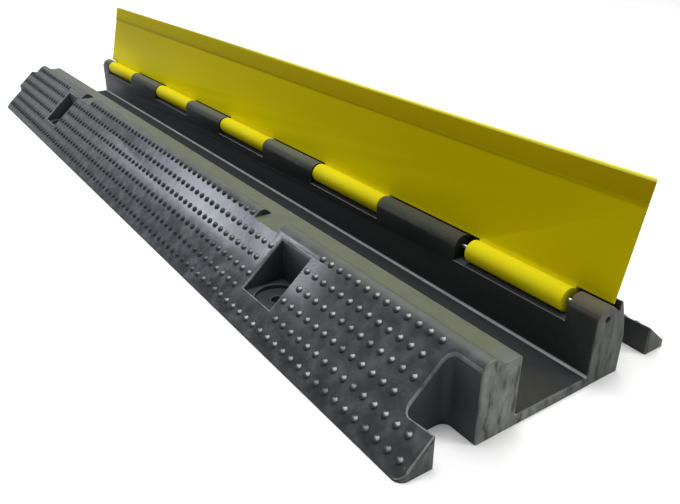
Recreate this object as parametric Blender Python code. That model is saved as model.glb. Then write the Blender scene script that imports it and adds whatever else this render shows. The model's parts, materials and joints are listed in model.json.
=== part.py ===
"""Floor cord cover: a moulded rubber ramp with one cable channel and a hinged lid, standing open.

Frame, in metres: X runs along the ramp, from the tongues (-X) to the sockets (+X). Y runs across
it, with the textured front ramp at -Y and the hinge wall and the back ramp at +Y. Z is up, and the
origin is at the middle of the footprint, on the floor.
"""
from math import asin, cos, degrees, pi, radians, sin, sqrt

import bmesh
import bpy

# Rubber base
BODY_LENGTH = 1.000          # without the tongues
TONGUE_LENGTH = 0.021
HALF_WIDTH = 0.1272
EDGE_LIP = 0.0015            # height of the ramp's outer edge
CREST_HEIGHT = 0.0586        # top of both ramps
FRONT_CREST = 0.0600         # where the front slope ends, from the middle
BACK_CREST = 0.0590
CREST_FLAT = 0.0015          # level strip along each crest
LEDGE_HEIGHT = 0.0521        # the closed lid lies on this ledge
LEDGE_EDGE = 0.0515          # foot of the step between the ledge and the front crest
CHANNEL_HALF = 0.0352
FLOOR_THICKNESS = 0.0070
FLOOR_FILLET = 0.0030

# Hinge
HINGE_Y = 0.0455
HINGE_Z = 0.0490
BASE_KNUCKLE_RADIUS = 0.0095
KNUCKLE_FOOT_ANGLE = radians(160)   # where the base knuckle's round meets the channel wall
WALL_SHOULDER = 0.0500              # height at which the channel wall starts to lean into the round
TROUGH_HEIGHT = 0.0522              # bottom of the groove behind the base knuckles
SLOT_COUNT = 5
SLOT_PITCH = 0.210
SLOT_LENGTH = 0.110
SLOT_FLOOR = 0.0393
SLOT_BACK = 0.0578
PIN_RADIUS = 0.0020
BORE_RADIUS = 0.0023
PIN_INSET = 0.0020           # the pin ends this far inside each end face

# Lid
LID_LEAN = 13.3              # degrees past upright, where it rests on the back crest
LID_KNUCKLE_RADIUS = 0.0092
LID_THICKNESS = 0.0058
LID_REACH = 0.0949           # hinge axis to free edge
LID_HINGE_EDGE = 0.0098      # hinge axis to the plate's edge between its knuckles
LID_EDGE_CHAMFER = 0.0010
LID_END_INSET = 0.0020
LID_KNUCKLES = ((0.0065, 0.093), (0.002, 0.106), (0.002, 0.106), (0.002, 0.106), (0.002, 0.106))
                             # start past the slot's +X end, and length, from +X to -X

# Ends that link one length of ramp to the next
SOCKET_DEPTH = 0.027
SOCKET_INNER = 0.0685        # side next to the channel wall, from the middle
SOCKET_OUTER_MOUTH = 0.1015
SOCKET_OUTER_DEEP = 0.1030
SOCKET_CORNER = 0.006
TONGUE_BASE = (0.0725, 0.1007)
TONGUE_TIP = (0.0755, 0.0980)

# Screw pockets and finger notches
POCKET_FROM_END = 0.200
POCKET_LENGTH = 0.042
POCKET_SIDES = (0.0703, 0.1070)
POCKET_FLOOR = 0.0160
DISH_RADIUS = 0.0170
DISH_FLOOR = 0.0125
SCREW_RADIUS = 0.0050
NOTCH_FROM_END = 0.251
NOTCH_LENGTH = 0.038
NOTCH_SIDES = (0.0510, 0.0700)
NOTCH_FLOOR = 0.0526

# Cutting tools run this far past the faces that they cut
OVERRUN = 0.004

NEAR_END = (BODY_LENGTH + TONGUE_LENGTH) / 2
FAR_END = NEAR_END - BODY_LENGTH
TONGUE_END = FAR_END - TONGUE_LENGTH
MIDDLE = (NEAR_END + FAR_END) / 2


def clear_scene():
    for thing in list(bpy.data.objects):
        bpy.data.objects.remove(thing, do_unlink=True)


def new_collection(name):
    collection = bpy.data.collections.new(name)
    bpy.context.scene.collection.children.link(collection)
    return collection


def material(name, colour, roughness, metallic=0.0):
    made = bpy.data.materials.new(name)
    made.use_nodes = True
    shader = made.node_tree.nodes["Principled BSDF"]
    shader.inputs["Base Color"].default_value = (*colour, 1.0)
    shader.inputs["Roughness"].default_value = roughness
    shader.inputs["Metallic"].default_value = metallic
    return made


def arc(centre, radius, start, end, steps):
    """Points of an arc, in (first, second) axis pairs, with both ends."""
    turn = (end - start) / steps
    return [(centre[0] + radius * cos(start + turn * i), centre[1] + radius * sin(start + turn * i))
            for i in range(steps + 1)]


def prism(name, outline, low, high, collection, along_x):
    """A flat outline extruded from low to high: a (y, z) outline along X, or an (x, y) one along Z."""
    curve = bpy.data.curves.new(name, "CURVE")
    curve.dimensions = "2D"
    curve.fill_mode = "BOTH"
    curve.extrude = (high - low) / 2
    spline = curve.splines.new("POLY")
    spline.points.add(len(outline) - 1)
    for point, (first, second) in zip(spline.points, outline):
        point.co = (first, second, 0, 1)
    spline.use_cyclic_u = True
    guide = bpy.data.objects.new(name + "_outline", curve)
    collection.objects.link(guide)
    if along_x:
        guide.rotation_euler = (pi / 2, 0, pi / 2)
        guide.location.x = (low + high) / 2
    else:
        guide.location.z = (low + high) / 2
    bpy.context.view_layer.update()

    mesh = bpy.data.meshes.new_from_object(guide.evaluated_get(bpy.context.evaluated_depsgraph_get()))
    mesh.transform(guide.matrix_world)
    bpy.data.objects.remove(guide, do_unlink=True)
    shape = bmesh.new()
    shape.from_mesh(mesh)
    bmesh.ops.remove_doubles(shape, verts=shape.verts, dist=1e-6)
    bmesh.ops.recalc_face_normals(shape, faces=shape.faces)
    shape.to_mesh(mesh)
    shape.free()
    solid = bpy.data.objects.new(name, mesh)
    collection.objects.link(solid)
    return solid


def box(name, x_range, y_range, z_range, collection):
    shape = bmesh.new()
    bmesh.ops.create_cube(shape, size=1)
    ranges = (x_range, y_range, z_range)
    bmesh.ops.scale(shape, vec=[high - low for low, high in ranges], verts=shape.verts)
    bmesh.ops.translate(shape, vec=[(low + high) / 2 for low, high in ranges], verts=shape.verts)
    return from_bmesh(name, shape, collection)


def cylinder(name, radius, low, high, axis, centre, sides, collection):
    """A cylinder from low to high along axis "X" or "Z"; centre gives its other two coordinates."""
    shape = bmesh.new()
    bmesh.ops.create_cone(shape, cap_ends=True, segments=sides, radius1=radius, radius2=radius,
                          depth=high - low)
    solid = from_bmesh(name, shape, collection)
    if axis == "X":
        solid.rotation_euler = (0, pi / 2, 0)
        solid.location = ((low + high) / 2, *centre)
    else:
        solid.location = (*centre, (low + high) / 2)
    return solid


def from_bmesh(name, shape, collection):
    mesh = bpy.data.meshes.new(name)
    shape.to_mesh(mesh)
    shape.free()
    solid = bpy.data.objects.new(name, mesh)
    collection.objects.link(solid)
    return solid


def cut(target, cutter):
    cutter.hide_render = True
    cutter.display_type = "WIRE"
    boolean = target.modifiers.new(cutter.name, "BOOLEAN")
    boolean.operation = "DIFFERENCE"
    boolean.object = cutter


def base_section():
    """The rubber section between the hinge slots, as (y, z), anticlockwise from the front edge."""
    axis = (HINGE_Y, HINGE_Z)
    knuckle_back = asin((TROUGH_HEIGHT - HINGE_Z) / BASE_KNUCKLE_RADIUS)
    fillet_height = FLOOR_THICKNESS + FLOOR_FILLET
    fillet_side = CHANNEL_HALF - FLOOR_FILLET
    section = [(-HALF_WIDTH, 0), (HALF_WIDTH, 0), (HALF_WIDTH, EDGE_LIP)]
    section += [(BACK_CREST, CREST_HEIGHT), (BACK_CREST - CREST_FLAT, CREST_HEIGHT)]
    section += [(BACK_CREST - CREST_FLAT, TROUGH_HEIGHT)]
    section += arc(axis, BASE_KNUCKLE_RADIUS, knuckle_back, KNUCKLE_FOOT_ANGLE, 12)
    section += [(CHANNEL_HALF, WALL_SHOULDER)]
    section += arc((fillet_side, fillet_height), FLOOR_FILLET, 0, -pi / 2, 4)
    section += arc((-fillet_side, fillet_height), FLOOR_FILLET, -pi / 2, -pi, 4)
    section += [(-CHANNEL_HALF, LEDGE_HEIGHT), (-LEDGE_EDGE, LEDGE_HEIGHT)]
    section += [(-FRONT_CREST + CREST_FLAT, CREST_HEIGHT), (-FRONT_CREST, CREST_HEIGHT)]
    section += [(-HALF_WIDTH, EDGE_LIP)]
    return section


def slot_starts():
    """The +X end of each hinge slot, from the socket end on."""
    first = MIDDLE + SLOT_PITCH * (SLOT_COUNT - 1) / 2 + SLOT_LENGTH / 2
    return [first - SLOT_PITCH * i for i in range(SLOT_COUNT)]


def socket_outline(side):
    """Plan of one end socket, as (x, y), with its two deep corners rounded."""
    deep = NEAR_END - SOCKET_DEPTH
    corner = deep + SOCKET_CORNER
    outline = [(NEAR_END + OVERRUN, SOCKET_INNER), (NEAR_END + OVERRUN, SOCKET_OUTER_MOUTH)]
    outline += [(NEAR_END, SOCKET_OUTER_MOUTH)]
    outline += arc((corner, SOCKET_OUTER_DEEP - SOCKET_CORNER), SOCKET_CORNER, pi / 2, pi, 5)
    outline += arc((corner, SOCKET_INNER + SOCKET_CORNER), SOCKET_CORNER, pi, 3 * pi / 2, 5)
    return [(x, side * y) for x, y in outline]


def tongue_side(part, x):
    """How far out one side of the tongue lies at x; part 0 is its inner side and 1 its outer one."""
    share = (FAR_END - x) / TONGUE_LENGTH
    return TONGUE_BASE[part] + share * (TONGUE_TIP[part] - TONGUE_BASE[part])


def make_base(model, cutters, rubber):
    base = prism("base", base_section(), TONGUE_END, NEAR_END, model, along_x=True)
    base.data.materials.append(rubber)
    trim_tongues(base, cutters)
    top = CREST_HEIGHT + OVERRUN

    for number, start in enumerate(slot_starts(), 1):
        cut(base, box(f"slot_cut_{number}", (start - SLOT_LENGTH, start),
                      (CHANNEL_HALF - OVERRUN, SLOT_BACK), (SLOT_FLOOR, top), cutters))
    cut(base, cylinder("bore_cut", BORE_RADIUS, FAR_END - OVERRUN, NEAR_END + OVERRUN, "X",
                       (HINGE_Y, HINGE_Z), 16, cutters))

    for side, word in ((-1, "front"), (1, "back")):
        cut(base, prism(f"socket_cut_{word}", socket_outline(side), -OVERRUN, top, cutters, along_x=False))
        for number, x in enumerate((NEAR_END - POCKET_FROM_END, FAR_END + POCKET_FROM_END), 1):
            cut_pocket(base, f"{word}_{number}", x, side, top, cutters)

    for number, x in enumerate((NEAR_END - NOTCH_FROM_END, FAR_END + NOTCH_FROM_END), 1):
        cut(base, box(f"notch_cut_{number}", (x - NOTCH_LENGTH / 2, x + NOTCH_LENGTH / 2),
                      (-NOTCH_SIDES[1], -NOTCH_SIDES[0]), (NOTCH_FLOOR, top), cutters))
    return base


def trim_tongues(base, cutters):
    """Cuts the far end back to the body's end face, leaving the two tongues."""
    past = TONGUE_END - OVERRUN
    wide = HALF_WIDTH + OVERRUN
    top = CREST_HEIGHT + OVERRUN
    inner = [(FAR_END, -tongue_side(0, FAR_END)), (FAR_END, tongue_side(0, FAR_END)),
             (past, tongue_side(0, past)), (past, -tongue_side(0, past))]
    cut(base, prism("end_cut_middle", inner, -OVERRUN, top, cutters, along_x=False))
    for side, word in ((-1, "front"), (1, "back")):
        outer = [(FAR_END, side * tongue_side(1, FAR_END)), (FAR_END, side * wide),
                 (past, side * wide), (past, side * tongue_side(1, past))]
        cut(base, prism(f"end_cut_{word}", outer, -OVERRUN, top, cutters, along_x=False))


def cut_pocket(base, name, x, side, top, cutters):
    """A screw pocket: a square well in the slope, a round dish in its floor and a through hole."""
    inner, outer = (side * y for y in POCKET_SIDES)
    centre = (x, (inner + outer) / 2)
    cut(base, box(f"pocket_cut_{name}", (x - POCKET_LENGTH / 2, x + POCKET_LENGTH / 2),
                  sorted((inner, outer)), (POCKET_FLOOR, top), cutters))
    cut(base, cylinder(f"dish_cut_{name}", DISH_RADIUS, DISH_FLOOR, POCKET_FLOOR + OVERRUN, "Z",
                       centre, 32, cutters))
    cut(base, cylinder(f"screw_cut_{name}", SCREW_RADIUS, -OVERRUN, DISH_FLOOR + OVERRUN, "Z",
                       centre, 16, cutters))


def lid_point(along, out):
    """A point of the open lid's section: along the plate from the hinge axis, and out of its back."""
    lean = radians(LID_LEAN)
    return (HINGE_Y + along * sin(lean) + out * cos(lean), HINGE_Z + along * cos(lean) - out * sin(lean))


def lid_section():
    """The lid's section through a knuckle: the barrel, with the plate flush with its back."""
    radius = LID_KNUCKLE_RADIUS
    face = radius - LID_THICKNESS
    turn_in = asin(face / radius)
    section = [(LID_REACH, radius - LID_EDGE_CHAMFER), (LID_REACH, face + LID_EDGE_CHAMFER)]
    section += [(LID_REACH - LID_EDGE_CHAMFER, face)]
    section += arc((0, 0), radius, turn_in, -3 * pi / 2, 30)
    section += [(LID_REACH - LID_EDGE_CHAMFER, radius)]
    return [lid_point(along, out) for along, out in section]


def make_lid(model, cutters, plastic):
    high, low = NEAR_END - LID_END_INSET, FAR_END + LID_END_INSET
    lid = prism("lid", lid_section(), low, high, model, along_x=True)
    lid.data.materials.append(plastic)
    gap_start = high + OVERRUN
    knuckles = [(start - shift, length) for start, (shift, length) in zip(slot_starts(), LID_KNUCKLES)]
    for number, (start, length) in enumerate(knuckles + [(low - OVERRUN, 0)], 1):
        cut(lid, lid_gap(f"gap_cut_{number}", start, gap_start, cutters))
        gap_start = start - length
    cut(lid, cylinder("lid_bore_cut", BORE_RADIUS, low - OVERRUN, high + OVERRUN, "X",
                      (HINGE_Y, HINGE_Z), 16, cutters))
    return lid


def lid_gap(name, low, high, cutters):
    """Takes the barrel and the plate's hinge edge off the lid, for one knuckle of the base."""
    reach = LID_KNUCKLE_RADIUS + OVERRUN
    corners = ((-reach, -reach), (LID_HINGE_EDGE, -reach), (LID_HINGE_EDGE, reach), (-reach, reach))
    return prism(name, [lid_point(along, out) for along, out in corners], low, high, cutters, along_x=True)


def make_pin(model, steel):
    pin = cylinder("hinge_pin", PIN_RADIUS, FAR_END + PIN_INSET, NEAR_END - PIN_INSET, "X",
                   (HINGE_Y, HINGE_Z), 16, model)
    pin.data.materials.append(steel)
    return pin


def main():
    clear_scene()
    model = new_collection("floor_cord_cover")
    cutters = new_collection("cutters")
    make_base(model, cutters, material("black_rubber", (0.040, 0.042, 0.043), 0.55))
    make_lid(model, cutters, material("yellow_vinyl", (0.60, 0.52, 0.010), 0.35))
    pin = make_pin(model, material("zinc_plated_steel", (0.55, 0.55, 0.53), 0.30, metallic=1.0))
    pin.data.shade_smooth()
    pin.data.set_sharp_from_angle(angle=radians(40))


main()
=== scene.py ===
import json
from math import asin, cos, pi, radians, sin

import bmesh
import bpy
from mathutils import Matrix, Vector


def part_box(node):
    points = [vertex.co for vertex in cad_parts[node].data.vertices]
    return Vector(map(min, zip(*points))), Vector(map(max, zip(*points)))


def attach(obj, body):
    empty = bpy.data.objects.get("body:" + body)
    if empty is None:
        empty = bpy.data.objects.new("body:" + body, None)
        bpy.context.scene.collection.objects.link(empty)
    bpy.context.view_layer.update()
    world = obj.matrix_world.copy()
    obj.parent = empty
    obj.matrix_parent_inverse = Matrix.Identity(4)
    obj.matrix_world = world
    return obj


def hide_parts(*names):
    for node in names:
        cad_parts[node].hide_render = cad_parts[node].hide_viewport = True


# A moulded rubber cord cover with a hinged yellow lid, standing open. Metres, in the frame's axes:
# X runs from the tongues to the sockets, Y from the front ramp to the back ramp, Z up.

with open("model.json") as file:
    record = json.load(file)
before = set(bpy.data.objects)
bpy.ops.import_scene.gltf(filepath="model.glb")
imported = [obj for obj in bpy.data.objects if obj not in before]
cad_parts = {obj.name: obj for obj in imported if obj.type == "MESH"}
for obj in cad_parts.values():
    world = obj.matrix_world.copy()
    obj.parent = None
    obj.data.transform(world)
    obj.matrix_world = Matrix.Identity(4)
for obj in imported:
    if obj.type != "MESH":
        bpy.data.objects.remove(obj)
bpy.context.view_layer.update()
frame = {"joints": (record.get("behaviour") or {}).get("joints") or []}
baseLow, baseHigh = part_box("base")
pinLow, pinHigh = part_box("hinge_pin")
hinge = Vector(frame["joints"][0]["pos_m"])  # a point on the pin's axis
print("frame loaded")


# Helpers for meshes

def keepMesh(bm, name, material, smoothAngle=35):  # finishes a bmesh as an object at the origin
    mesh = bpy.data.meshes.new(name)
    bm.to_mesh(mesh)
    bm.free()
    piece = bpy.data.objects.new(name, mesh)
    bpy.context.collection.objects.link(piece)
    if material:
        mesh.materials.append(material)
    mesh.shade_smooth()
    mesh.set_sharp_from_angle(angle=radians(smoothAngle))
    return piece


def arcCorners(centre, radius, start, end, steps):  # points of an arc for an outline, both ends too
    turn = (end - start) / steps
    return [(centre[0] + radius * cos(start + turn * i), centre[1] + radius * sin(start + turn * i), 0)
            for i in range(steps + 1)]


def extrudeOutline(bm, corners, low, high, along, roundSteps=5):
    # corners are (first, second, round), round being how far the rounding reaches from the corner
    place = {"x": lambda a, b: (low, a, b), "z": lambda a, b: (a, b, low)}[along]
    points, rounds, older = [], {}, set(bm.faces)
    for first, second, reach in corners:
        points.append(bm.verts.new(place(first, second)))
        if reach:
            rounds.setdefault(reach, []).append(points[-1])
    bm.faces.new(points)
    for reach, group in rounds.items():
        bmesh.ops.bevel(bm, geom=group, offset=reach, offset_type="OFFSET", segments=roundSteps,
                        profile=0.5, affect="VERTICES", material=-1)
    outline = [f for f in bm.faces if f not in older]
    pushed = bmesh.ops.extrude_face_region(bm, geom=outline)["geom"]
    shift = (high - low, 0, 0) if along == "x" else (0, 0, high - low)
    bmesh.ops.translate(bm, vec=shift, verts=[v for v in pushed if isinstance(v, bmesh.types.BMVert)])


def addBlock(bm, xRange, yRange, zRange):
    ranges = (xRange, yRange, zRange)
    verts = bmesh.ops.create_cube(bm, size=1)["verts"]
    bmesh.ops.scale(bm, vec=[max(r) - min(r) for r in ranges], verts=verts)
    bmesh.ops.translate(bm, vec=[sum(r) / 2 for r in ranges], verts=verts)


def addRod(bm, radius, low, high, centre, along, sides):
    turned = Matrix.Rotation(pi / 2, 4, "Y") if along == "x" else Matrix.Identity(4)
    middle = ((low + high) / 2, *centre) if along == "x" else (*centre, (low + high) / 2)
    bmesh.ops.create_cone(bm, cap_ends=True, segments=sides, radius1=radius, radius2=radius,
                          depth=high - low, matrix=Matrix.Translation(middle) @ turned)


def carve(bm, cutters):  # takes each cutter bmesh out of bm, one after the other
    bmesh.ops.recalc_face_normals(bm, faces=bm.faces)
    body = keepMesh(bm, "carving", None)
    tools = []
    for cutter in cutters:
        bmesh.ops.recalc_face_normals(cutter, faces=cutter.faces)
        tools.append(keepMesh(cutter, "carvingTool", None))
        boolean = body.modifiers.new("carve", "BOOLEAN")
        boolean.operation = "DIFFERENCE"
        boolean.object = tools[-1]
    evaluated = body.evaluated_get(bpy.context.evaluated_depsgraph_get())
    carved = bmesh.new()
    carved.from_mesh(bpy.data.meshes.new_from_object(evaluated))
    for thing in [body] + tools:
        bpy.data.objects.remove(thing, do_unlink=True)
    bmesh.ops.remove_doubles(carved, verts=carved.verts, dist=1e-5)
    bmesh.ops.dissolve_limit(carved, angle_limit=radians(0.5), verts=carved.verts, edges=carved.edges)
    return carved


def roundEdges(bm, width, sharpest=40, segments=2, chosen=lambda edge: True):
    # rounds the chosen sharp outer edges, and marks the new faces so that a material can paint wear and a
    # highlight on them
    worn = bm.faces.layers.float.get("edgeWearAndHighlight") or bm.faces.layers.float.new("edgeWearAndHighlight")
    edges = [e for e in bm.edges if e.is_convex and e.calc_face_angle(0) > radians(sharpest) and chosen(e)]
    rounded = bmesh.ops.bevel(bm, geom=edges, offset=width, offset_type="OFFSET", segments=segments,
                              profile=0.5, affect="EDGES", clamp_overlap=False, material=-1)
    for face in rounded["faces"]:
        face[worn] = 1.0


# Helpers for materials

def hexColour(code):  # sRGB hex to linear RGBA
    channels = [int(code[i:i + 2], 16) / 255 for i in (1, 3, 5)]
    return [c / 12.92 if c <= 0.04045 else ((c + 0.055) / 1.055) ** 2.4 for c in channels] + [1]


def perMetre(millimetres):  # a texture's Scale for a feature of this real size
    return 1000 / millimetres


def addNode(tree, kind, settings=None, inputs=None):
    # adds a node and gives its outputs; an input is a socket to link, a hex colour or a plain value
    node = tree.nodes.new(kind)
    for name, setting in (settings or {}).items():
        setattr(node, name, setting)
    for name, source in (inputs or {}).items():
        if isinstance(source, bpy.types.NodeSocket):
            tree.links.new(source, node.inputs[name])
        else:
            node.inputs[name].default_value = hexColour(source) if isinstance(source, str) else source
    return node.outputs


def newMaterial(name):
    material = bpy.data.materials.new(name)
    material.use_nodes = True
    tree = material.node_tree
    return material, tree, tree.nodes["Principled BSDF"]


# Camera

cameraView = {
    "place": (0.7299, -0.3212, 0.2873),
    "azimuth": 55.107,    # degrees round from looking along +Y
    "elevation": 26.047,  # degrees above the floor
    "roll": 0.432,
    "lens": 36.911,       # mm, on a sensor 36 mm wide
}


def makeCamera():
    camera = bpy.data.objects.new("camera", bpy.data.cameras.new("camera"))
    camera.data.lens = cameraView["lens"]
    camera.data.sensor_width = 36
    camera.data.clip_start = 0.01
    camera.location = cameraView["place"]
    turn = (Matrix.Rotation(radians(cameraView["azimuth"]), 4, "Z")
            @ Matrix.Rotation(radians(90 - cameraView["elevation"]), 4, "X")
            @ Matrix.Rotation(radians(cameraView["roll"]), 4, "Z"))
    camera.rotation_euler = turn.to_euler()
    bpy.context.collection.objects.link(camera)
    bpy.context.scene.camera = camera


makeCamera()
print("camera placed")


# Rubber base

baseSize = {
    "edgeLip": 0.0015,
    "crestHeight": 0.0586,
    "frontCrest": 0.0600,
    "frontCrestPeak": 0.0610,  # the corner before its rounding, which brings it down to the crest height
    "frontCrestRound": 0.0068,
    "backCrest": 0.0590,
    "crestFlat": 0.0015,
    "ledgeHeight": 0.0521,
    "ledgeEdge": 0.0515,
    "channelHalf": 0.0352,
    "floorThickness": 0.0070,
    "floorFillet": 0.0024,
    "cornerRound": 0.0006,      # the toes' lips and the back crest
    "ledgeEdgeRound": 0.0014,
    "ledgeFootRound": 0.0022,
    "knuckleRadius": 0.0095,
    "knuckleFoot": radians(160),
    "wallShoulder": 0.0500,
    "troughHeight": 0.0522,
    "tongueLength": 0.021,
    "tongueRoot": (0.0725, 0.1007),
    "tongueTip": (0.0755, 0.0980),
    "slots": 5,
    "slotPitch": 0.210,
    "slotLength": 0.110,
    "slotFloor": 0.0393,
    "slotBack": 0.0578,
    "boreRadius": 0.0023,
    "socketDepth": 0.027,
    "socketInner": 0.0685,
    "socketMouth": 0.1015,
    "socketDeep": 0.1030,
    "socketCorner": 0.006,
    "flare": ((0.0588, 0.0600), (0.0620, 0.0510), (0.0652, 0.0430), (0.0685, 0.0300)),  # back socket's rim
    "toeRound": 0.0070,  # in plan, at the four corners
    "socketRound": 0.0015,
    "endRound": 0.0012,
    "pocketRound": 0.0014,
    "edgeRound": 0.0004,
}
pocketSize = {"fromEnd": 0.200, "length": 0.042, "sides": (0.0703, 0.1070), "floor": 0.0160,
              "dishRadius": 0.0178, "dishFloor": 0.0125, "screwRadius": 0.0050}
notchSize = {"fromEnd": 0.251, "length": 0.038, "sides": (0.0510, 0.0700), "floor": 0.0526}
past = 0.004     # how far a cutter runs past the faces that it cuts
nearly = 0.0001  # how close to a face a point still counts as on it

nearEnd = baseHigh.x
farEnd = baseLow.x + baseSize["tongueLength"]
halfWidth = baseHigh.y
slotStarts = [(nearEnd + farEnd) / 2 + baseSize["slotPitch"] * (2 - i) + baseSize["slotLength"] / 2
              for i in range(baseSize["slots"])]
pocketMiddles = (nearEnd - pocketSize["fromEnd"], farEnd + pocketSize["fromEnd"])
notchMiddles = (nearEnd - notchSize["fromEnd"], farEnd + notchSize["fromEnd"])


def baseCorners():
    s = baseSize
    knuckleBack = asin((s["troughHeight"] - hinge.z) / s["knuckleRadius"])
    return [
        (-halfWidth, 0, 0), (halfWidth, 0, 0), (halfWidth, s["edgeLip"], s["cornerRound"]),
        (s["backCrest"], s["crestHeight"], s["cornerRound"]),
        (s["backCrest"] - s["crestFlat"], s["crestHeight"], s["cornerRound"]),
        (s["backCrest"] - s["crestFlat"], s["troughHeight"], 0),
        *arcCorners((hinge.y, hinge.z), s["knuckleRadius"], knuckleBack, s["knuckleFoot"], 18),
        (s["channelHalf"], s["wallShoulder"], 0),
        (s["channelHalf"], s["floorThickness"], s["floorFillet"]),
        (-s["channelHalf"], s["floorThickness"], s["floorFillet"]),
        (-s["channelHalf"], s["ledgeHeight"], s["ledgeEdgeRound"]),
        (-s["ledgeEdge"], s["ledgeHeight"], s["ledgeFootRound"]),
        (-s["frontCrest"], s["frontCrestPeak"], s["frontCrestRound"]),
        (-halfWidth, s["edgeLip"], s["cornerRound"]),
    ]


def socketCorners(side):
    s = baseSize
    deep = nearEnd - s["socketDepth"]
    corners = [(nearEnd + past, s["socketInner"], 0), (nearEnd + past, s["socketMouth"], 0),
               (nearEnd, s["socketMouth"], 0), (deep, s["socketDeep"], s["socketCorner"]),
               (deep, s["socketInner"], s["socketCorner"])]
    return [(x, side * y, reach) for x, y, reach in corners]


def toeCorners(end, side):  # what the rounding takes off a corner, seen from above
    reach = baseSize["toeRound"]
    x = nearEnd if end > 0 else farEnd
    corners = [(past, past, 0), (past, -reach, 0), *arcCorners((-reach, -reach), reach, 0, pi / 2, 10),
               (-reach, past, 0)]
    return [(x + end * out, side * (halfWidth + aside), 0) for out, aside, _ in corners]


def onSocket(edge):  # the rims of the sockets in the slopes
    a, b = (v.co for v in edge.verts)
    deep = nearEnd - baseSize["socketDepth"] - nearly
    inner, outer = baseSize["socketInner"] - nearly, baseSize["socketDeep"] + nearly
    inSocket = all(v.x > deep and v.z > 0.001 and inner < abs(v.y) < outer for v in (a, b))
    return inSocket and abs(a.z - b.z) < (a - b).length * 0.9  # not the upright edges


def onEndFace(edge):  # the near end face's edges, without the floor, the trough behind the hinge and the bore
    a, b = (v.co for v in edge.verts)
    middle = (a + b) / 2
    fromPin = Vector((middle.y - hinge.y, middle.z - hinge.z)).length
    return (min(a.x, b.x) > nearEnd - nearly and max(a.z, b.z) > 0.003 and fromPin > 0.004
            and not (middle.y > 0.052 and middle.z > 0.050))


def onPocket(edge):  # the rims of the screw pockets in the slopes
    a, b = (v.co for v in edge.verts)
    reach = pocketSize["length"] / 2 + nearly
    inner, outer = pocketSize["sides"]
    return min(a.z, b.z) > pocketSize["floor"] + nearly and any(
        all(abs(v.x - middle) < reach and inner - nearly < abs(v.y) < outer + nearly for v in (a, b))
        for middle in pocketMiddles)


def tongueSide(part, x):
    share = (farEnd - x) / baseSize["tongueLength"]
    return baseSize["tongueRoot"][part] + share * (baseSize["tongueTip"][part] - baseSize["tongueRoot"][part])


def makeBase(material):
    s = baseSize
    body = bmesh.new()
    extrudeOutline(body, baseCorners(), baseLow.x, nearEnd, "x")
    top = s["crestHeight"] + past
    tipEnd = baseLow.x - past
    wide = halfWidth + past

    bays = bmesh.new()  # the end cuts, hinge slots, sockets, pockets and notches
    extrudeOutline(bays, [(farEnd, -tongueSide(0, farEnd), 0), (farEnd, tongueSide(0, farEnd), 0),
                          (tipEnd, tongueSide(0, tipEnd), 0), (tipEnd, -tongueSide(0, tipEnd), 0)],
                   -past, top, "z")
    for start in slotStarts:
        addBlock(bays, (start - s["slotLength"], start), (s["channelHalf"] - past, s["slotBack"]),
                 (s["slotFloor"], top))
    for middle in notchMiddles:
        addBlock(bays, (middle - notchSize["length"] / 2, middle + notchSize["length"] / 2),
                 (-notchSize["sides"][1], -notchSize["sides"][0]), (notchSize["floor"], top))
    dishes, holes, corners = bmesh.new(), bmesh.new(), bmesh.new()
    flare = [(y, z, 0) for y, z in s["flare"]]
    extrudeOutline(corners, flare + [(flare[-1][0] + past, flare[-1][1], 0), (flare[-1][0] + past, top, 0)],
                   nearEnd - s["socketDepth"], nearEnd + past, "x")
    addRod(dishes, s["boreRadius"], farEnd - past, nearEnd + past, (hinge.y, hinge.z), "x", 24)
    for side in (-1, 1):
        extrudeOutline(bays, [(farEnd, side * tongueSide(1, farEnd), 0), (farEnd, side * wide, 0),
                              (tipEnd, side * wide, 0), (tipEnd, side * tongueSide(1, tipEnd), 0)],
                       -past, top, "z")
        extrudeOutline(bays, socketCorners(side), -past, top, "z")
        for end in (-1, 1):
            extrudeOutline(corners, toeCorners(end, side), -past, s["slotFloor"], "z")
        inner, outer = (side * y for y in pocketSize["sides"])
        for middle in pocketMiddles:
            addBlock(bays, (middle - pocketSize["length"] / 2, middle + pocketSize["length"] / 2),
                     (inner, outer), (pocketSize["floor"], top))
            centre = (middle, (inner + outer) / 2)
            addRod(dishes, pocketSize["dishRadius"], pocketSize["dishFloor"], pocketSize["floor"] + past,
                   centre, "z", 48)
            addRod(holes, pocketSize["screwRadius"], -past, pocketSize["dishFloor"] + past, centre, "z", 32)

    carved = carve(body, [bays, corners, dishes, holes])
    roundEdges(carved, s["pocketRound"], segments=3, chosen=onPocket)
    roundEdges(carved, s["socketRound"], segments=3, chosen=onSocket)
    roundEdges(carved, s["endRound"], segments=3, chosen=onEndFace)
    roundEdges(carved, s["edgeRound"], chosen=lambda edge: max(v.co.z for v in edge.verts) > nearly)
    return keepMesh(carved, "rubberBase", material)


# Studs on both slopes

studSize = {
    "radius": 0.0029,
    "height": 0.0021,
    "sunk": 0.0002,
    "pitch": 0.0109,      # along the ramp
    "rows": 6,
    "lowestRow": 0.1197,  # from the middle
    "rowStep": 0.01056,   # across the ramp, seen from above
    "lastOdd": 0.0367,    # last stud of the top row, from the socket end
    "margin": 0.0015,     # clear of every edge
    "endMargin": 0.0030,
}


def studRuns():  # what the studs keep clear of, as (x low, x high, distance low, distance high)
    s = baseSize
    runs = [(nearEnd - s["socketDepth"], nearEnd, s["socketInner"], s["socketDeep"])]
    for middle in pocketMiddles:
        reach = pocketSize["length"] / 2
        runs.append((middle - reach, middle + reach, *pocketSize["sides"]))
    return runs


def notchRuns():
    reach = notchSize["length"] / 2
    return [(middle - reach, middle + reach, *notchSize["sides"]) for middle in notchMiddles]


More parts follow.
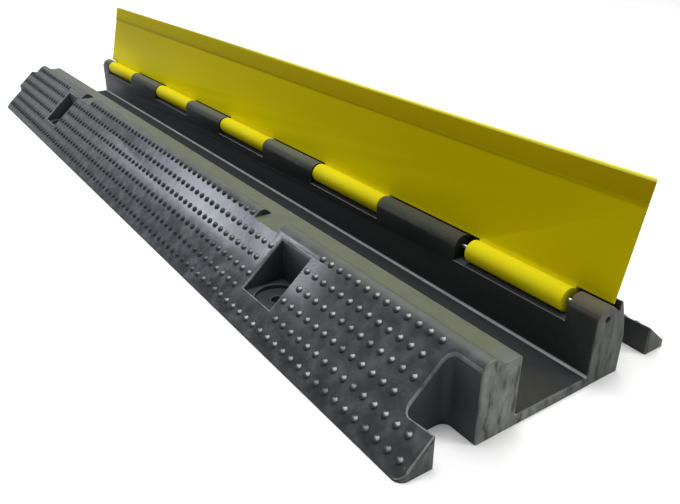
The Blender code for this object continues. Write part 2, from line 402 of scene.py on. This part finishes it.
def studPlaces(side):
    clear = studSize["radius"] + studSize["margin"]
    blocked = studRuns() + (notchRuns() if side < 0 else [])
    places = []
    for row in range(studSize["rows"]):
        out = studSize["lowestRow"] - studSize["rowStep"] * (studSize["rows"] - 1 - row)
        x = nearEnd - studSize["lastOdd"] + studSize["pitch"] * (3 if row % 2 == 0 else 3.5)
        onTongue = tongueSide(0, farEnd) + clear < out < tongueSide(1, farEnd) - clear / 2
        last = (baseLow.x if onTongue else farEnd) + studSize["radius"] + studSize["endMargin"]
        while x > last:
            x -= studSize["pitch"]
            if x > nearEnd - studSize["radius"] - studSize["endMargin"] or x < last:
                continue
            if not any(a - clear < x < b + clear and c - clear < out < d + clear for a, b, c, d in blocked):
                places.append((x, side * out))
    return places


def makeStuds(material):
    dome = bmesh.new()
    bmesh.ops.create_uvsphere(dome, u_segments=12, v_segments=8, radius=1)
    bmesh.ops.bisect_plane(dome, geom=dome.verts[:] + dome.edges[:] + dome.faces[:], dist=1e-4,
                           plane_co=(0, 0, 0), plane_no=(0, 0, 1), clear_inner=True)
    bmesh.ops.holes_fill(dome, edges=[e for e in dome.edges if e.is_boundary])
    bmesh.ops.scale(dome, vec=(studSize["radius"], studSize["radius"], studSize["height"]), verts=dome.verts)
    domeMesh = bpy.data.meshes.new("stud")
    dome.to_mesh(domeMesh)
    dome.free()
    s = baseSize
    studs = bmesh.new()
    slopes = ((-1, s["frontCrest"], s["frontCrestPeak"]), (1, s["backCrest"], s["crestHeight"]))
    for side, crest, peak in slopes:
        rise = peak - s["edgeLip"]
        slope = Vector((0, side * rise, halfWidth - crest)).normalized()
        tilt = Vector((0, 0, 1)).rotation_difference(slope).to_matrix().to_4x4()
        for x, y in studPlaces(side):
            z = s["edgeLip"] + rise * (halfWidth - abs(y)) / (halfWidth - crest)
            copy = domeMesh.copy()
            copy.transform(Matrix.Translation(Vector((x, y, z)) - slope * studSize["sunk"]) @ tilt)
            studs.from_mesh(copy)
            bpy.data.meshes.remove(copy)
    return keepMesh(studs, "slopeStuds", material, smoothAngle=60)


# Lid

lidSize = {
    "lean": radians(13.3),     # past upright, where it rests on the back crest
    "barrelRadius": 0.0092,
    "thickness": 0.0058,
    "reach": 0.09485,
    "hingeEdge": 0.0098,
    "edgeChamfer": 0.0010,
    "stepRound": 0.0006,
    "endInset": 0.0020,
    "bandWidth": 0.0190,       # the band along the free edge that lies on the ledge
    "bandStep": 0.0006,        # how far it stands proud of the rest
    "endChamfer": 0.0042,      # on the outer face, at both ends
    "knuckles": ((0.0065, 0.093), (0.002, 0.106), (0.002, 0.106), (0.002, 0.106), (0.002, 0.106)),
    "edgeRound": 0.0005,
}
bandStart = lidSize["reach"] - lidSize["bandWidth"]  # along the plate from the hinge axis


def lidPoint(along, out, reach=0):  # along the plate from the hinge axis, and out of its back
    rise, run = cos(lidSize["lean"]), sin(lidSize["lean"])
    return (hinge.y + along * run + out * rise, hinge.z + along * rise - out * run, reach)


def makeLid(material):
    s = lidSize
    radius = s["barrelRadius"]
    bandFace = radius - s["thickness"]
    face = bandFace + s["bandStep"]
    turnIn = asin(face / radius)
    outline = [lidPoint(s["reach"], radius, s["edgeChamfer"]),
               lidPoint(s["reach"], bandFace, s["edgeChamfer"]),
               lidPoint(bandStart + s["bandStep"] * 2, bandFace, s["stepRound"]),
               lidPoint(bandStart, face, s["stepRound"])]
    outline += [lidPoint(a, b) for a, b, _ in arcCorners((0, 0), radius, turnIn, -3 * pi / 2, 56)]
    plate = bmesh.new()
    high, low = nearEnd - s["endInset"], farEnd + s["endInset"]
    extrudeOutline(plate, outline, low, high, "x")
    gaps, bore = bmesh.new(), bmesh.new()
    reach = radius + past
    start = high + past
    knuckles = [(slot - shift, length) for slot, (shift, length) in zip(slotStarts, s["knuckles"])]
    for end, length in knuckles + [(low - past, 0)]:
        extrudeOutline(gaps, [lidPoint(*corner) for corner in ((-reach, -reach), (s["hingeEdge"], -reach),
                                                               (s["hingeEdge"], reach), (-reach, reach))],
                       end, start, "x")
        start = end - length
    addRod(bore, baseSize["boreRadius"], low - past, high + past, (hinge.y, hinge.z), "x", 24)
    carved = carve(plate, [gaps, bore])
    outOfBack = Vector((0, cos(s["lean"]), -sin(s["lean"])))
    for end, sign in ((high, 1), (low, -1)):
        bmesh.ops.bisect_plane(carved, geom=carved.verts[:] + carved.edges[:] + carved.faces[:], dist=1e-6,
                               plane_co=(end - sign * s["endChamfer"], *lidPoint(0, radius)[:2]),
                               plane_no=(Vector((sign, 0, 0)) + outOfBack).normalized(), clear_outer=True)
        bmesh.ops.holes_fill(carved, edges=[e for e in carved.edges if e.is_boundary])
    roundEdges(carved, s["edgeRound"])
    return keepMesh(carved, "lidPlate", material)


# Hinge pin

pinSize = {"radius": 0.0020, "chamfer": 0.0005, "sides": 32}


def makePin(material):
    rod = bmesh.new()
    addRod(rod, pinSize["radius"], pinLow.x, pinHigh.x, (hinge.y, hinge.z), "x", pinSize["sides"])
    ends = [e for e in rod.edges if e.calc_face_angle(0) > radians(60)]
    bmesh.ops.bevel(rod, geom=ends, offset=pinSize["chamfer"], offset_type="OFFSET", segments=2,
                    profile=0.5, affect="EDGES", material=-1)
    return keepMesh(rod, "pinRod", material)


# Materials

def addFades(tree, follow, fades, curve="SMOOTHSTEP"):
    # a mask for each row of a table: what it follows, from where to where, and its value at each
    masks = {}
    for name, (source, start, end, atStart, atEnd) in fades.items():
        masks[name] = addNode(tree, "ShaderNodeMapRange", {"interpolation_type": curve},
                              {"Value": follow[source], "From Min": start, "From Max": end,
                               "To Min": atStart, "To Max": atEnd})[0]
    return masks


def whereAll(tree, mask, *others):  # masks multiplied, and a number weakens them
    for other in others:
        mask = addNode(tree, "ShaderNodeMath", {"operation": "MULTIPLY"}, {0: mask, 1: other})[0]
    return mask


def whereAny(tree, mask, *others):  # the strongest of the masks
    for other in others:
        mask = addNode(tree, "ShaderNodeMath", {"operation": "MAXIMUM"}, {0: mask, 1: other})[0]
    return mask


def layOver(tree, under, colour, *masks):  # a colour over another, where all the masks let it through
    return addNode(tree, "ShaderNodeMix", {"data_type": "RGBA"},
                   {0: whereAll(tree, *masks), 6: under, 7: colour})[2]


rubberLook = {
    "darkGrey": "#222527",
    "bloomGrey": "#5A5E66",
    "bloomNear": "#4B4F50",    # the bloom at the socket end
    "bloomFar": "#565A54",     # and towards the tongue end
    "rowShade": "#16181A",     # painted shade along the front slope's rows of studs at the tongue end, where the studs hide the slope
    "rowLitBand": "#5C5F5A",      # and painted light on the bands between them
    "ledgeDust": "#60644F",
    "ledgeGrey": "#686A63",    # the ledge's dust towards the tongue end
    "crestWear": "#5C5F5A",
    # the rounded edges: wear, and a painted highlight that is strongest towards the toes
    "edgeWearAndHighlight": "#868987",
    "knuckleDust": "#3F3F31",
    "knuckleDustAndSheen": "#5E614D",  # the tops of the knuckles towards the tongue end: olive dust and a painted highlight
    "endKnuckle": "#57523F",   # the knuckle at the socket end, which gathers more dust
    "channelGrey": "#1C1E20",
    # the channel floor at the socket end: olive dust, and painted light on its front half
    "floorDustAndLight": "#2F3025",
    "recessGrey": "#303135",   # pocket floors and the slots under the lid's barrels
    # a painted highlight along the fillets at the foot of the channel walls
    "filletHighlight": "#A6A8A8",
    "endGrime": "#4C4F49",
    "endScuff": "#83867F",
    "endNick": "#34373A",
    "cleanWall": "#1F2221",
    "outerWall": "#2E3033",    # the walls of the pockets and sockets
    "farWallLit": "#66686C",      # the walls of the channel and hinge at the tongue end, with painted light that falls in at the open end
    # the studs' painted shade, painted lit side and painted highlight
    "studShade": "#15171A",
    "studLitSide": "#4A4F52",
    "studHighlight": "#B4B8B7",
    "mottle": 14,              # mm, patches of bloom left by the mould
    "blotch": 22,              # mm, grime on the end faces
    "speck": 2.2,              # mm, the grain that the eye can still see; the real one is near 0.3 mm
    "streak": 7,               # mm, scuffs on the end faces, drawn out three times upwards
    "grainDepth": 0.0004,
    "paintedLightFrom": (0.46, -0.12, 0.88),  # the direction that the studs' painted light comes from
    "rowShadeShare": 0.8,
    "rowLitBandShare": 0.5,
    "rowPolish": 0.25,         # how much less rough the rubber is under the painted row shade
    "ledgeRough": 0.8,
    "knuckleRough": 0.9,
    "crestRough": 0.62,
}
filletStart = baseSize["channelHalf"] - baseSize["floorFillet"]
rubberFades = {
    # along, across and height are the place in metres, outward is across from the middle to either side,
    # upward is the Z of the surface's direction, and slant and sideways are its Z and X without their signs
    "bloomFar": ("along", 0.02, -0.20, 0, 1),
    "bloomNear": ("along", 0.22, 0.38, 0, 1),
    "bloomPatch": ("mottle", 0.34, 0.80, 0, 1),
    "onRow": ("rowWave", -0.60, 0.10, 0, 1),
    "rowsAlong": ("along", -0.05, -0.32, 0, 1),
    "rowsAcross": ("across", -0.0605, -0.0625, 0, 1),
    "flat": ("upward", 0.80, 0.98, 0, 1),
    "high": ("height", 0.045, 0.050, 0, 1),
    "onCrest": ("height", 0.0530, 0.0560, 0, 1),
    "crestTop": ("upward", 0.65, 0.95, 0, 1),
    "ledgeAlong": ("along", -0.25, 0.0, 0, 1),
    "ledgeEnd": ("along", nearEnd - 0.022, nearEnd - 0.006, 0, 1),
    "domed": ("upward", 0.20, 0.65, 0, 0.9),
    "behindChannel": ("across", 0.030, 0.034, 0, 1),
    "beforeCrest": ("across", 0.0578, 0.0570, 0, 1),
    "knuckleFar": ("along", 0.30, 0.10, 0, 1),
    "knuckleTop": ("upward", 0.55, 0.90, 0, 1),
    "knuckleEnd": ("along", nearEnd - 0.06, nearEnd - 0.04, 0, 1),
    "floorEnd": ("along", nearEnd - 0.13, nearEnd - 0.01, 0, 1),
    "floorFront": ("across", 0.03, -0.03, 0, 1),
    "floorPatch": ("mottle", 0.20, 0.60, 0, 1),
    "filletFoot": ("outward", filletStart - 0.0002, filletStart + 0.0008, 0, 1),
    "filletFace": ("upward", 0.25, 0.60, 0, 1),
    "onOuterWall": ("outward", 0.060, 0.064, 0, 1),
    "litFromEnd": ("along", -0.36, -0.47, 0, 0.8),
    "onInnerWall": ("outward", 0.060, 0.058, 0, 1),
    "steep": ("slant", 0.60, 0.25, 0, 1),
    "edgePatch": ("mottle", 0.20, 0.58, 0, 1),
    "nearFace": ("along", nearEnd - 0.0030, nearEnd - 0.0010, 0, 1),
    "endFace": ("sideways", 0.35, 0.85, 0, 1),
    "endStreak": ("streak", 0.25, 0.65, 0, 1),
    "endBlotch": ("blotch", 0.25, 0.60, 0, 1),
    "endNicks": ("streak", 0.44, 0.36, 0, 0.8),
    "hingeSide": ("across", -0.03, 0.04, 0, 1),
    "toeSide": ("outward", 0.085, 0.105, 0, 1),
    "toeDirt": ("height", 0.052, 0.018, 0, 0.68),
    "farDull": ("along", 0.10, -0.20, 0, 0.66),
    "nearDull": ("along", 0.29, 0.39, 0, 0.62),
}
rubberRamps = {  # as above, but straight between
    "patchy": ("mottle", 0.2, 0.7, 0.6, 1.0),
    "edgeOutward": ("outward", 0.088, 0.100, 0.42, 0.85),
    "edgeFront": ("across", 0.030, 0.034, 1.0, 0.25),
    "satin": ("mottle", 0, 1, 0.24, 0.46),
}
# masks for the studs' painted light, on the side facing it near the socket end
studFades = {
    "socketEndStuds": ("along", 0.17, 0.32, 0, 1),
    "offLevel": ("upward", 0.985, 0.93, 0, 1),  # no painted light where the stud is level
    "top": ("towardLight", 0.50, 0.82, 0, 1),
    "glint": ("towardLight", 0.80, 0.95, 0, 1),
    "patch": ("mottle", 0.20, 0.60, 0, 1),
}


def paintedLightStudRubber():
    # The same rubber on the studs, with painted light and shade: dark all over as in shade, and near the
    # socket end a painted lit side and highlight on the side that faces the light
    look = rubberLook
    material, tree, shader = newMaterial("paintedLightStudRubber")
    coords = addNode(tree, "ShaderNodeTexCoord")
    follow = {
        "along": addNode(tree, "ShaderNodeSeparateXYZ", inputs={0: coords["Object"]})["X"],
        "upward": addNode(tree, "ShaderNodeSeparateXYZ", inputs={0: coords["Normal"]})["Z"],
        "towardLight": addNode(tree, "ShaderNodeVectorMath", {"operation": "DOT_PRODUCT"},
                          {0: coords["Normal"], 1: look["paintedLightFrom"]})["Value"],
        "mottle": addNode(tree, "ShaderNodeTexNoise",
                          inputs={"Vector": coords["Object"], "Scale": perMetre(look["mottle"]),
                                  "Detail": 5})["Fac"],
    }
    mask = addFades(tree, follow, studFades)
    colour = layOver(tree, look["studShade"], look["studLitSide"], mask["top"], mask["offLevel"], mask["socketEndStuds"])
    colour = layOver(tree, colour, look["studHighlight"],
                     mask["glint"], mask["offLevel"], mask["socketEndStuds"], mask["patch"])
    tree.links.new(colour, shader.inputs["Base Color"])
    shader.inputs["Roughness"].default_value = 0.52
    shader.inputs["IOR"].default_value = 1.52
    shader.inputs["Specular IOR Level"].default_value = 0.35
    return material


def mouldedRubber():
    # Compression-moulded black rubber: satin and dark grey, with a mottled bloom on the slopes,
    # olive dust on what faces up, lighter worn edges and grey scuffs on the end faces, and painted light and
    # shade:
    # bands along the front slope's rows, highlights on the fillets, knuckle tops and edges, and light on the
    # far walls and the channel floor's front
    look = rubberLook
    material, tree, shader = newMaterial("mouldedRubber")
    coords = addNode(tree, "ShaderNodeTexCoord")
    place = addNode(tree, "ShaderNodeSeparateXYZ", inputs={0: coords["Object"]})
    facing = addNode(tree, "ShaderNodeSeparateXYZ", inputs={0: coords["Normal"]})
    follow = {"along": place["X"], "across": place["Y"], "height": place["Z"], "upward": facing["Z"]}
    for name, source in (("outward", place["Y"]), ("slant", facing["Z"]), ("sideways", facing["X"])):
        follow[name] = addNode(tree, "ShaderNodeMath", {"operation": "ABSOLUTE"}, {0: source})[0]
    drawnOut = addNode(tree, "ShaderNodeMapping",
                       inputs={"Vector": coords["Object"], "Scale": (1, 1, 0.33)})[0]
    noises = (("mottle", coords["Object"], 5, 0.62), ("speck", coords["Object"], 3, 0.5),
              ("streak", drawnOut, 4, 0.5), ("blotch", coords["Object"], 5, 0.6))
    for name, vector, detail, roughness in noises:
        follow[name] = addNode(tree, "ShaderNodeTexNoise",
                               inputs={"Vector": vector, "Scale": perMetre(look[name]),
                                       "Detail": detail, "Roughness": roughness})["Fac"]
    fromRow = addNode(tree, "ShaderNodeMath", {"operation": "SUBTRACT"},
                      {0: follow["outward"], 1: studSize["lowestRow"]})[0]
    follow["rowWave"] = addNode(tree, "ShaderNodeMath", {"operation": "COSINE"},
                                {0: whereAll(tree, fromRow, 2 * pi / studSize["rowStep"])})[0]
    mask = addFades(tree, follow, rubberFades)
    mask.update(addFades(tree, follow, rubberRamps, "LINEAR"))
    for name, opposite in (("low", "high"), ("offCrest", "onCrest"), ("offRow", "onRow")):
        mask[name] = addNode(tree, "ShaderNodeMath", {"operation": "SUBTRACT"},
                             {0: 1.0, 1: mask[opposite]})[0]

    # the slopes
    # painted shade along the front slope's rows of studs at the tongue end, and painted light between them
    rows = whereAll(tree, mask["rowsAlong"], mask["rowsAcross"])
    rowShade = whereAll(tree, mask["onRow"], rows, look["rowShadeShare"])
    bloom = layOver(tree, look["bloomGrey"], look["bloomFar"], mask["bloomFar"])
    bloom = layOver(tree, bloom, look["bloomNear"], mask["bloomNear"])
    colour = layOver(tree, look["darkGrey"], bloom, mask["bloomPatch"])
    colour = layOver(tree, colour, look["rowLitBand"], mask["offRow"], rows, look["rowLitBandShare"])
    colour = layOver(tree, colour, look["rowShade"], rowShade)

    # the crest, the ledge and the knuckles
    colour = layOver(tree, colour, look["crestWear"], mask["onCrest"], mask["crestTop"], mask["patchy"])
    onLedge = whereAll(tree, mask["flat"], mask["high"], mask["patchy"], mask["offCrest"])
    ledge = layOver(tree, look["ledgeGrey"], look["ledgeDust"], mask["ledgeAlong"])
    colour = layOver(tree, colour, layOver(tree, ledge, look["ledgeGrey"], mask["ledgeEnd"]), onLedge)
    onKnuckle = whereAll(tree, mask["domed"], mask["high"], mask["behindChannel"], mask["beforeCrest"])
    # the knuckle tops towards the tongue end carry dust and a painted highlight
    knuckle = layOver(tree, look["knuckleDust"], look["knuckleDustAndSheen"], mask["knuckleFar"], mask["knuckleTop"])
    colour = layOver(tree, colour, layOver(tree, knuckle, look["endKnuckle"], mask["knuckleEnd"]), onKnuckle)

    # the recesses, the channel and the walls
    inChannel = addNode(tree, "ShaderNodeMath", {"operation": "LESS_THAN"},
                        {0: follow["outward"], 1: baseSize["channelHalf"] + 0.0002})[0]
    # olive dust on the channel floor at the socket end, with painted light on its front half
    channel = layOver(tree, look["channelGrey"], look["floorDustAndLight"],
                      mask["floorEnd"], mask["floorFront"], mask["floorPatch"])
    colour = layOver(tree, colour, look["recessGrey"], mask["flat"], mask["low"])
    colour = layOver(tree, colour, channel, inChannel, mask["low"])
    # a painted highlight along the channel floor's fillets
    colour = layOver(tree, colour, look["filletHighlight"], mask["filletFoot"], inChannel, mask["filletFace"],
                     mask["low"], mask["patchy"])
    wall = layOver(tree, look["cleanWall"], look["outerWall"], mask["onOuterWall"])
    # painted light on the channel and hinge walls at the tongue end
    wall = layOver(tree, wall, look["farWallLit"], mask["litFromEnd"], mask["onInnerWall"])
    colour = layOver(tree, colour, wall, mask["steep"])

    # the worn edges with a painted highlight, and the end faces
    rounded = addNode(tree, "ShaderNodeAttribute", {"attribute_name": "edgeWearAndHighlight"})["Fac"]
    onEdge = whereAll(tree, rounded, mask["edgeOutward"], mask["edgeFront"], mask["edgePatch"])
    offEdge = addNode(tree, "ShaderNodeMath", {"operation": "SUBTRACT"}, {0: 1.0, 1: onEdge})[0]
    colour = layOver(tree, colour, look["edgeWearAndHighlight"], onEdge)
    farFace = addNode(tree, "ShaderNodeMath", {"operation": "LESS_THAN"},
                      {0: follow["along"], 1: farEnd + 0.0010})[0]
    scuffed = layOver(tree, look["endGrime"], look["endScuff"], mask["endStreak"], mask["endBlotch"])
    scuffed = layOver(tree, scuffed, look["endNick"], mask["endNicks"])
    fainter = addNode(tree, "ShaderNodeMapRange",
                      inputs={"Value": whereAny(tree, mask["hingeSide"], mask["toeSide"]),
                              "To Min": 0.95, "To Max": 0.40})[0]
    colour = layOver(tree, colour, scuffed, mask["endFace"], whereAny(tree, mask["nearFace"], farFace),
                     fainter, offEdge)
    tree.links.new(colour, shader.inputs["Base Color"])

    unpolished = addNode(tree, "ShaderNodeMath", {"operation": "SUBTRACT"},
                         {0: 1.0, 1: whereAll(tree, rowShade, look["rowPolish"])})[0]
    dull = whereAll(tree, whereAny(tree, mask["toeDirt"], mask["farDull"], mask["nearDull"]), unpolished)
    rough = whereAny(tree, mask["satin"], whereAll(tree, onLedge, look["ledgeRough"]),
                     whereAll(tree, onKnuckle, look["knuckleRough"]),
                     whereAll(tree, mask["onCrest"], look["crestRough"]), dull)
    tree.links.new(rough, shader.inputs["Roughness"])
    grain = addNode(tree, "ShaderNodeBump",
                    inputs={"Strength": 0.30, "Distance": look["grainDepth"], "Height": follow["speck"]})[0]
    tree.links.new(grain, shader.inputs["Normal"])
    shader.inputs["IOR"].default_value = 1.52
    shader.inputs["Specular IOR Level"].default_value = 0.35
    return material


vinylLook = {
    "lemon": "#E6DA1C",
    "deep": "#DCCD10",
    "plateNear": "#F4E400",    # the plate, at its hinge edge
    "plateFar": "#C2B200",     # and at its free edge, darker
    "plateEndTone": "#AC9A00",  # the plate towards both ends: painted shade high on the plate at the tongue end, and darker towards the socket end
    "bandOlive": "#AA9E08",    # the band that lies on the ledge, at the tongue end
    "bandBrown": "#9E8A00",    # and at the socket end
    "bandDark": "#8E7C00",     # painted shadow along the band's step, and the darker band corner at the socket end
    "edgeHighlight": "#F2EA5A",    # a painted highlight along the free edge
    "cloud": 60,               # mm, slow changes of tone
    "peel": 1.8,               # mm
    "peelDepth": 0.0002,
}
vinylFades = {
    # fromAxis is up the plate from the hinge axis, and inward is 1 on the face over the channel
    "plateUp": ("fromAxis", lidSize["hingeEdge"], bandStart, 0, 1),
    "offBarrels": ("fromAxis", lidSize["hingeEdge"], lidSize["hingeEdge"] + 0.004, 0, 1),
    "endToneFar": ("along", -0.15, -0.48, 0, 0.7),
    "endToneNear": ("along", -0.10, nearEnd, 0, 0.60),
    "innerFace": ("inward", -0.6, -0.2, 0, 1),  # the lid's outer face has no band
    "bandAlong": ("along", farEnd, nearEnd, 0, 1),
    "bandCorner": ("along", 0.40, nearEnd, 0, 0.6),
    "onBand": ("fromAxis", bandStart - 0.0010, bandStart + 0.0040, 0, 1),
    "lineLow": ("fromAxis", bandStart - 0.0025, bandStart + 0.0002, 0, 1),
    "lineHigh": ("fromAxis", bandStart + 0.0050, bandStart + 0.0008, 0, 1),
    "freeEdge": ("fromAxis", lidSize["reach"] - 0.0024, lidSize["reach"] - 0.0012, 0, 1),
    "freeEdgeAlong": ("along", -0.15, 0.15, 0, 0.8),
}
vinylRamps = {"stepShadowAlong": ("along", farEnd, nearEnd, 0.75, 0.20)}


def mouldedVinyl():
    # Injection-moulded yellow PVC: one strong colour, a low semi-gloss sheen and a faint orange peel,
    # with painted shade at the plate's tongue end and along the band's step, and a painted highlight on the
    # free edge
    look = vinylLook
    material, tree, shader = newMaterial("mouldedVinyl")
    coords = addNode(tree, "ShaderNodeTexCoord")
    rise, run = cos(lidSize["lean"]), sin(lidSize["lean"])
    upPlate = addNode(tree, "ShaderNodeVectorMath", {"operation": "DOT_PRODUCT"},
                      {0: coords["Object"], 1: (0, run, rise)})["Value"]
    follow = {
        "along": addNode(tree, "ShaderNodeSeparateXYZ", inputs={0: coords["Object"]})["X"],
        "fromAxis": addNode(tree, "ShaderNodeMath", {"operation": "SUBTRACT"},
                            {0: upPlate, 1: hinge.y * run + hinge.z * rise})[0],
        "inward": addNode(tree, "ShaderNodeVectorMath", {"operation": "DOT_PRODUCT"},
                          {0: coords["Normal"], 1: (0, -rise, run)})["Value"],
    }
    for name, detail in (("cloud", 4), ("peel", 2)):
        follow[name] = addNode(tree, "ShaderNodeTexNoise",
                               inputs={"Vector": coords["Object"], "Scale": perMetre(look[name]),
                                       "Detail": detail})["Fac"]
    mask = addFades(tree, follow, vinylFades)
    mask.update(addFades(tree, follow, vinylRamps, "LINEAR"))
    # painted shade high on the plate at the tongue end, and darker towards the socket end
    endTone = whereAny(tree, mask["endToneNear"], whereAll(tree, mask["endToneFar"], mask["plateUp"]))
    plate = layOver(tree, look["plateNear"], look["plateFar"], mask["plateUp"])
    plate = layOver(tree, plate, look["plateEndTone"], endTone)
    colour = layOver(tree, look["deep"], look["lemon"], follow["cloud"])
    colour = layOver(tree, colour, plate, mask["offBarrels"])
    band = layOver(tree, look["bandOlive"], look["bandBrown"], mask["bandAlong"])
    band = layOver(tree, band, look["bandDark"], mask["bandCorner"])
    colour = layOver(tree, colour, band, mask["onBand"], mask["innerFace"])
    # a painted shadow line along the band's step, stronger at the tongue end
    colour = layOver(tree, colour, look["bandDark"],
                     mask["lineLow"], mask["stepShadowAlong"], mask["lineHigh"], mask["innerFace"])
    # a painted highlight along the free edge, stronger towards the socket end
    colour = layOver(tree, colour, look["edgeHighlight"], mask["freeEdge"], mask["freeEdgeAlong"])
    tree.links.new(colour, shader.inputs["Base Color"])
    bump = addNode(tree, "ShaderNodeBump",
                   inputs={"Strength": 0.08, "Distance": look["peelDepth"], "Height": follow["peel"]})[0]
    tree.links.new(bump, shader.inputs["Normal"])
    shader.inputs["Roughness"].default_value = 0.50
    shader.inputs["Specular IOR Level"].default_value = 0.02
    return material


steelLook = {
    "zinc": "#C6C9CC",
    "patch": 0.6,    # mm
    "smooth": 0.22,  # roughness, from here to the next
    "dull": 0.38,
}


def zincPlatedSteel():
    # Drawn steel rod, zinc plated: bright and slightly blue, with a gloss that changes in small patches
    look = steelLook
    material, tree, shader = newMaterial("zincPlatedSteel")
    coords = addNode(tree, "ShaderNodeTexCoord")
    patch = addNode(tree, "ShaderNodeTexNoise",
                    inputs={"Vector": coords["Object"], "Scale": perMetre(look["patch"]), "Detail": 2})["Fac"]
    gloss = addNode(tree, "ShaderNodeMapRange",
                    inputs={"Value": patch, "To Min": look["smooth"], "To Max": look["dull"]})[0]
    tree.links.new(gloss, shader.inputs["Roughness"])
    shader.inputs["Base Color"].default_value = hexColour(look["zinc"])
    shader.inputs["Metallic"].default_value = 1.0
    return material


rubber, litStudRubber, vinyl, steel = mouldedRubber(), paintedLightStudRubber(), mouldedVinyl(), zincPlatedSteel()
print("materials made")

base = makeBase(rubber)
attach(base, "ramp")
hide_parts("base")
print("base made:", len(base.data.polygons), "faces")

studs = makeStuds(litStudRubber)
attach(studs, "ramp")
print("studs made:", len(studs.data.polygons), "faces")

lid = makeLid(vinyl)
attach(lid, "lid")
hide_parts("lid")
print("lid made:", len(lid.data.polygons), "faces")

pin = makePin(steel)
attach(pin, "ramp")
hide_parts("hinge_pin")
print("pin made")


# Floor and lights

studio = {
    "floorHalf": 8.0,
    "floorColour": "#F8F8F8",
    "worldColour": "#FFFFFF",
    "worldStrength": 0.15,
    "lights": {
        # name: (place, aimed at, size, watts, colour)
        "overhead": ((0.15, 0.10, 3.2), (0, 0, 0.05), 1.8, 80, "#FFFFFF"),
        "farStrip": ((-2.12, -0.98, 1.40), (0.18, -0.08, 0.04), 0.50, 26, "#EEF2FC"),
        "endKey": ((1.85, 1.25, 2.15), (0.2, -0.05, 0.03), 0.7, 24, "#FFFFFF"),
        "backWash": ((-2.2, 2.0, 2.6), (-2.0, 1.9, 0), 2.2, 50, "#FFFFFF"),
        "frontFill": ((1.6, -1.9, 1.2), (0, 0, 0.05), 1.4, 3, "#FFFFFF"),
    },
}


def makeStage():
    bm = bmesh.new()
    bmesh.ops.create_grid(bm, x_segments=2, y_segments=2, size=studio["floorHalf"])
    material, tree, shader = newMaterial("paleFloor")
    shader.inputs["Base Color"].default_value = hexColour(studio["floorColour"])
    shader.inputs["Roughness"].default_value = 0.9
    floor = keepMesh(bm, "paleFloor", material)
    world = bpy.data.worlds.new("studio")
    world.use_nodes = True
    world.node_tree.nodes["Background"].inputs["Color"].default_value = hexColour(studio["worldColour"])
    world.node_tree.nodes["Background"].inputs["Strength"].default_value = studio["worldStrength"]
    bpy.context.scene.world = world
    for name, (place, target, size, watts, colour) in studio["lights"].items():
        lamp = bpy.data.lights.new(name, "AREA")
        lamp.size = size
        lamp.energy = watts
        lamp.color = hexColour(colour)[:3]
        light = bpy.data.objects.new(name, lamp)
        light.location = place
        light.rotation_euler = (Vector(target) - Vector(place)).to_track_quat("-Z", "Y").to_euler()
        bpy.context.collection.objects.link(light)
    bpy.context.scene.view_settings.view_transform = "Standard"


makeStage()
print("stage made")
